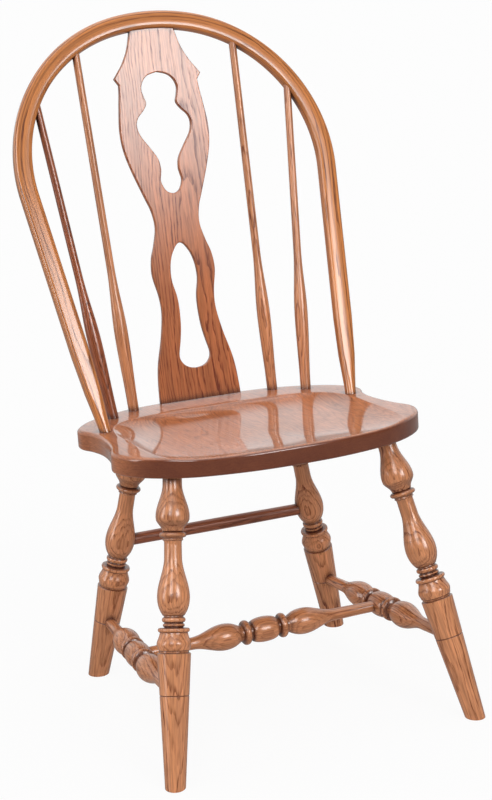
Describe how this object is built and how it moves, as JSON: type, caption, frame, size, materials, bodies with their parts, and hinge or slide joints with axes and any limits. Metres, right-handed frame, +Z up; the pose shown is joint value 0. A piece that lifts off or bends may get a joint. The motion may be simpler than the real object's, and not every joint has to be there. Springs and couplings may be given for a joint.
{
  "type": "fiddle back chair",
  "caption": "Solid oak dining chair with a scooped plank seat, bent bow back, fiddle-shaped pierced splat, slim spindles and turned splayed legs joined by stretchers.",
  "frame": {"origin": "on the floor, under the middle of the chair's bounding box", "axes": "+Z up, the front of the chair toward -Y, +X to the right of a person looking at the front"},
  "size_m": [0.553, 0.6431, 1.07],
  "materials": {
    "oak": "stained and lacquered, satin to gloss"
  },
  "bodies": {
    "root": {"seat_board_1": "oak", "seat_board_2": "oak", "seat_board_3": "oak", "seat_board_4": "oak", "seat_board_5": "oak", "bow": "oak", "splat": "oak", "spindle_outer_left": "oak", "spindle_inner_left": "oak", "spindle_inner_right": "oak", "spindle_outer_right": "oak", "leg_front_left": "oak", "leg_front_right": "oak", "leg_rear_left": "oak", "leg_rear_right": "oak", "stretcher_side_left": "oak", "stretcher_side_right": "oak", "stretcher_middle": "oak", "stretcher_rear": "oak"}
  },
  "joints": []
}
